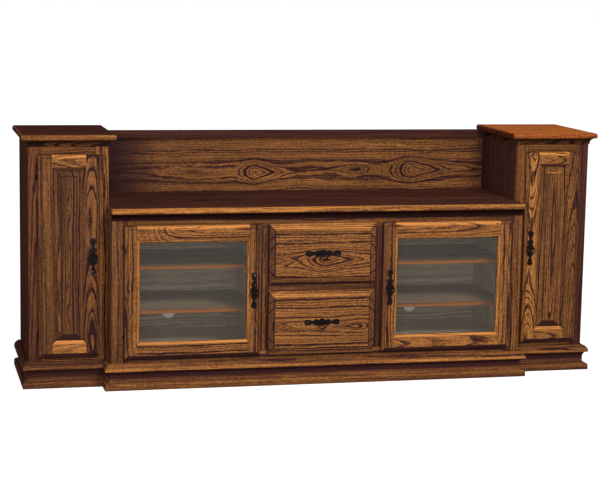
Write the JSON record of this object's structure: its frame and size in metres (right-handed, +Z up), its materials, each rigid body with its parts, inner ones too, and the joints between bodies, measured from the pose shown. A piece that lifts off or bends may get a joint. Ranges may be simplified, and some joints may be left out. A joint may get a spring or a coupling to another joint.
{
  "type": "entertainment wall unit",
  "caption": "Low wooden media console with glazed doors and centre drawers between taller pier cabinets with panelled doors, joined by a back panel above the counter.",
  "frame": {"origin": "middle of the bounding box on the floor", "axes": "+X along the width to the right as seen from the front, +Y from the front to the back, +Z up"},
  "size_m": [2.138, 0.5138, 0.902],
  "materials": {
    "stained_oak": "dark stained oak, satin varnish",
    "drawer_wood": "pale sanded wood, sealed",
    "glass": "clear, lightly tinted",
    "antique_metal": "antiqued dark bronze, rubbed on high spots",
    "zinc_steel": "zinc plated"
  },
  "bodies": {
    "carcass": {"counter_top": "stained_oak", "counter_crown": "stained_oak", "console_frame_stiles": "stained_oak", "console_frame_rails": "stained_oak", "console_sides": "stained_oak", "console_dividers": "stained_oak", "cabinet_floors": "stained_oak", "console_back_panels": "stained_oak", "console_base_cap": "stained_oak", "console_base_plinth": "stained_oak", "console_shelves": "stained_oak", "drawer_runners": "zinc_steel", "shelf_supports": "zinc_steel", "bridge_panel": "stained_oak", "bridge_rail": "stained_oak", "frame_hinge_leaves": "antique_metal", "pier_back_panels": "stained_oak", "pier_shelves": "stained_oak", "left_pier_top": "stained_oak", "left_pier_crown": "stained_oak", "left_pier_sides": "stained_oak", "left_pier_frame": "stained_oak", "left_pier_base": "stained_oak", "right_pier_top": "stained_oak", "right_pier_crown": "stained_oak", "right_pier_sides": "stained_oak", "right_pier_frame": "stained_oak", "right_pier_base": "stained_oak"},
    "left_glass_door": {"left_glass_door_frame": "stained_oak", "left_glass_pane": "glass", "left_glass_stops": "stained_oak", "left_glass_door_hinges": "antique_metal", "left_glass_door_pull": "antique_metal"},
    "right_glass_door": {"right_glass_door_frame": "stained_oak", "right_glass_pane": "glass", "right_glass_stops": "stained_oak", "right_glass_door_hinges": "antique_metal", "right_glass_door_pull": "antique_metal"},
    "left_pier_door": {"left_pier_door_frame": "stained_oak", "left_pier_door_panel": "stained_oak", "left_pier_door_hinges": "antique_metal", "left_pier_door_pull": "antique_metal"},
    "right_pier_door": {"right_pier_door_frame": "stained_oak", "right_pier_door_panel": "stained_oak", "right_pier_door_hinges": "antique_metal", "right_pier_door_pull": "antique_metal"},
    "upper_drawer": {"upper_drawer_front": "stained_oak", "upper_drawer_box": "drawer_wood", "upper_drawer_slides": "zinc_steel", "upper_drawer_pull": "antique_metal"},
    "lower_drawer": {"lower_drawer_front": "stained_oak", "lower_drawer_box": "drawer_wood", "lower_drawer_slides": "zinc_steel", "lower_drawer_pull": "antique_metal"},
    "left_glass_door_pull_ring": {"left_glass_door_ring": "antique_metal"},
    "right_glass_door_pull_ring": {"right_glass_door_ring": "antique_metal"},
    "left_pier_door_pull_ring": {"left_pier_door_ring": "antique_metal"},
    "right_pier_door_pull_ring": {"right_pier_door_ring": "antique_metal"},
    "upper_drawer_pull_ring": {"upper_drawer_ring": "antique_metal"},
    "lower_drawer_pull_ring": {"lower_drawer_ring": "antique_metal"}
  },
  "joints": [
    {"name": "left_glass_door_hinge", "type": "hinge", "parent": "carcass", "child": "left_glass_door", "pos_m": [-0.7203, -0.2237, 0.3495], "axis": [0, 0, -1], "range_deg": [0, 105]},
    {"name": "right_glass_door_hinge", "type": "hinge", "parent": "carcass", "child": "right_glass_door", "pos_m": [0.7203, -0.2237, 0.3495], "axis": [0, 0, 1], "range_deg": [0, 105]},
    {"name": "left_pier_door_hinge", "type": "hinge", "parent": "carcass", "child": "left_pier_door", "pos_m": [-1.0143, -0.1457, 0.472], "axis": [0, 0, -1], "range_deg": [0, 105]},
    {"name": "right_pier_door_hinge", "type": "hinge", "parent": "carcass", "child": "right_pier_door", "pos_m": [1.0143, -0.1457, 0.472], "axis": [0, 0, 1], "range_deg": [0, 105]},
    {"name": "upper_drawer_slide", "type": "slide", "parent": "carcass", "child": "upper_drawer", "axis": [0, -1, 0], "range_m": [0, 0.3]},
    {"name": "lower_drawer_slide", "type": "slide", "parent": "carcass", "child": "lower_drawer", "axis": [0, -1, 0], "range_m": [0, 0.3]},
    {"name": "left_glass_door_ring_pivot", "type": "hinge", "parent": "left_glass_door", "child": "left_glass_door_pull_ring", "pos_m": [-0.2528, -0.2521, 0.3555], "axis": [-1, 0, 0], "range_deg": [-8, 95]},
    {"name": "right_glass_door_ring_pivot", "type": "hinge", "parent": "right_glass_door", "child": "right_glass_door_pull_ring", "pos_m": [0.2528, -0.2521, 0.3555], "axis": [-1, 0, 0], "range_deg": [-8, 95]},
    {"name": "left_pier_door_ring_pivot", "type": "hinge", "parent": "left_pier_door", "child": "left_pier_door_pull_ring", "pos_m": [-0.8193, -0.1741, 0.478], "axis": [-1, 0, 0], "range_deg": [-8, 95]},
    {"name": "right_pier_door_ring_pivot", "type": "hinge", "parent": "right_pier_door", "child": "right_pier_door_pull_ring", "pos_m": [0.8193, -0.1741, 0.478], "axis": [-1, 0, 0], "range_deg": [-8, 95]},
    {"name": "upper_drawer_ring_pivot", "type": "hinge", "parent": "upper_drawer", "child": "upper_drawer_pull_ring", "pos_m": [0, -0.2521, 0.4855], "axis": [-1, 0, 0], "range_deg": [-8, 95]},
    {"name": "lower_drawer_ring_pivot", "type": "hinge", "parent": "lower_drawer", "child": "lower_drawer_pull_ring", "pos_m": [0, -0.2521, 0.2335], "axis": [-1, 0, 0], "range_deg": [-8, 95]}
  ]
}
